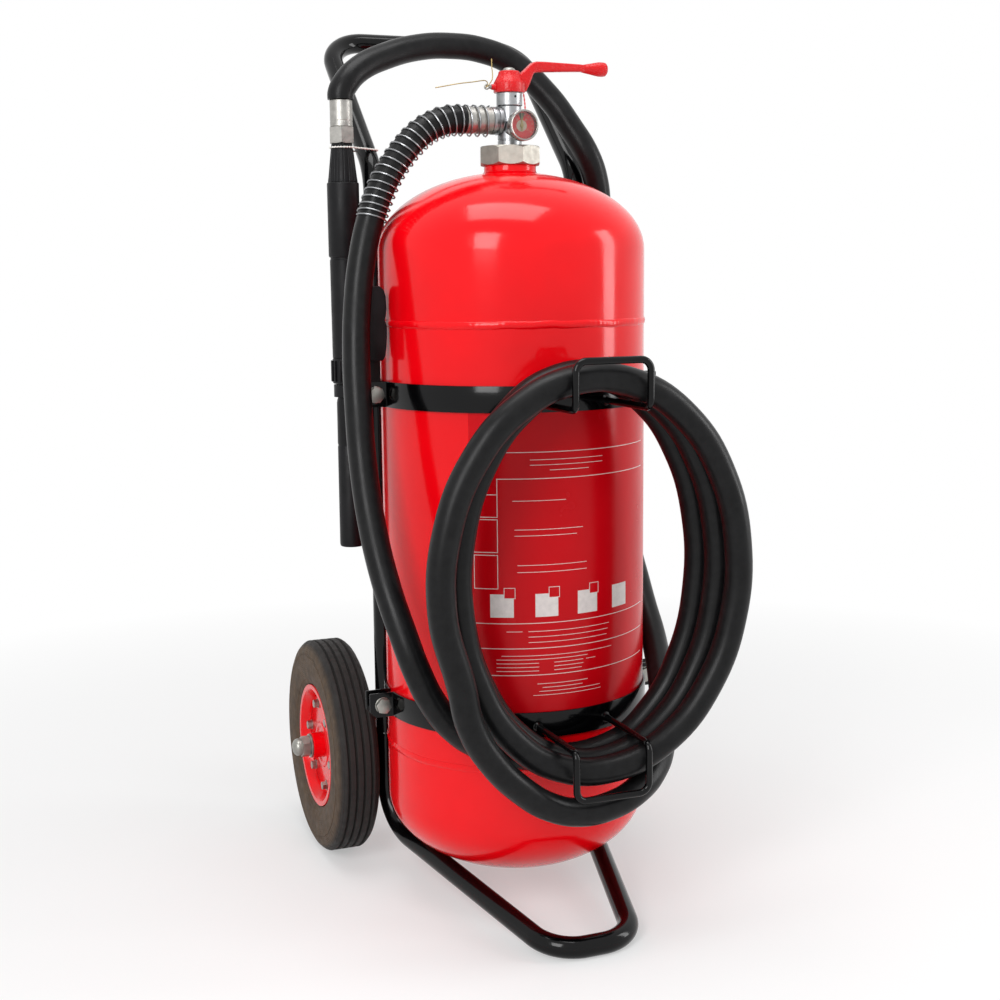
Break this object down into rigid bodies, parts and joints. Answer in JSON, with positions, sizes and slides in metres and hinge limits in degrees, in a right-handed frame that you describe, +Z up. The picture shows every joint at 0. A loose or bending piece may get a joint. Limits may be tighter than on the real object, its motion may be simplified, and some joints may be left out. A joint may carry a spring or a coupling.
{
  "type": "wheeled fire extinguisher",
  "caption": "Wheeled powder fire extinguisher: welded red cylinder with lever valve, gauge and hose, strapped to a bent-tube trolley with rubber-tyred wheels and a nozzle holder.",
  "frame": {"origin": "on the ground, in the middle of the footprint of everything but the hose and what is on it; the cylinder's axis stands 40.8 mm in front of it", "axes": "+Z up; +X to the viewer's right when facing the front, along the axle; -Y towards the front, where the hose hooks and the gauge are"},
  "size_m": [0.473, 0.6244, 1.0865],
  "materials": {
    "red_paint": "gloss",
    "black_paint": "gloss",
    "zinc_steel": "satin",
    "aluminium": "satin",
    "brass": "satin",
    "hose_rubber": "satin",
    "tyre_rubber": "matt",
    "moulded_black": "satin",
    "white_card": "matt",
    "lens": "gloss"
  },
  "bodies": {
    "frame": {"cylinder_shell": "red_paint", "dip_tube": "zinc_steel", "neck_seal": "hose_rubber", "collar_nut": "aluminium", "valve_body": "aluminium", "valve_bonnet": "aluminium", "valve_spring": "zinc_steel", "gauge_case": "zinc_steel", "gauge_dial": "white_card", "gauge_lens": "lens", "outlet_nut": "zinc_steel", "outlet_ferrule": "zinc_steel", "spring_guard": "zinc_steel", "hose_lead": "hose_rubber", "hose_coil": "hose_rubber", "hose_return": "hose_rubber", "nozzle_ferrule": "aluminium", "nozzle_nut": "zinc_steel", "nozzle_grip": "moulded_black", "nozzle_barrel": "moulded_black", "nozzle_coupling": "moulded_black", "nozzle_tube": "moulded_black", "nozzle_holder": "black_paint", "nozzle_tie": "white_card", "handle_loop": "black_paint", "foot_loop": "black_paint", "axle_bracket_left": "black_paint", "axle_bracket_right": "black_paint", "hose_clip": "moulded_black", "lower_band_front": "black_paint", "lower_band_rear": "black_paint", "lower_hose_hook": "black_paint", "lower_bolt_left": "zinc_steel", "lower_bolt_right": "zinc_steel", "lower_nut_left": "zinc_steel", "lower_nut_right": "zinc_steel", "upper_band_front": "black_paint", "upper_band_rear": "black_paint", "upper_hose_hook": "black_paint", "upper_bolt_left": "zinc_steel", "upper_bolt_right": "zinc_steel", "upper_nut_left": "zinc_steel", "upper_nut_right": "zinc_steel", "axle": "zinc_steel", "hub_nut_left": "zinc_steel", "axle_spacer_left": "zinc_steel", "hub_nut_right": "zinc_steel", "axle_spacer_right": "zinc_steel"},
    "handle": {"valve_handle": "red_paint", "handle_screw": "zinc_steel"},
    "stem": {"valve_stem": "brass"},
    "pin": {"safety_pin": "zinc_steel"},
    "pointer": {"gauge_pointer": "black_paint"},
    "wheel_left": {"tyre_left": "tyre_rubber", "rim_outer_left": "red_paint", "rim_inner_left": "red_paint"},
    "wheel_right": {"tyre_right": "tyre_rubber", "rim_outer_right": "red_paint", "rim_inner_right": "red_paint"}
  },
  "joints": [
    {"name": "handle_turn", "type": "hinge", "parent": "frame", "child": "handle", "pos_m": [0, -0.0408, 0.98], "axis": [0, 0, -1], "range_deg": [0, 90]},
    {"name": "stem_slide", "type": "slide", "parent": "frame", "child": "stem", "axis": [0, 0, -1], "range_m": [0, 0.005], "deforming": ["valve_spring"]},
    {"name": "pin_pull", "type": "slide", "parent": "handle", "child": "pin", "axis": [-1, 0, 0], "range_m": [0, 0.03]},
    {"name": "pointer_turn", "type": "hinge", "parent": "frame", "child": "pointer", "pos_m": [0, -0.078, 0.9378], "axis": [0, 1, 0], "range_deg": [-120, 60]},
    {"name": "wheel_left_spin", "type": "hinge", "parent": "frame", "child": "wheel_left", "pos_m": [-0.182, 0.1712, 0.141], "axis": [1, 0, 0], "continuous": true},
    {"name": "wheel_right_spin", "type": "hinge", "parent": "frame", "child": "wheel_right", "pos_m": [0.182, 0.1712, 0.141], "axis": [1, 0, 0], "continuous": true}
  ],
  "couplings": [
    {"joint": "stem_slide", "follows": "handle_turn", "m_per_rad": 0.00318}
  ]
}
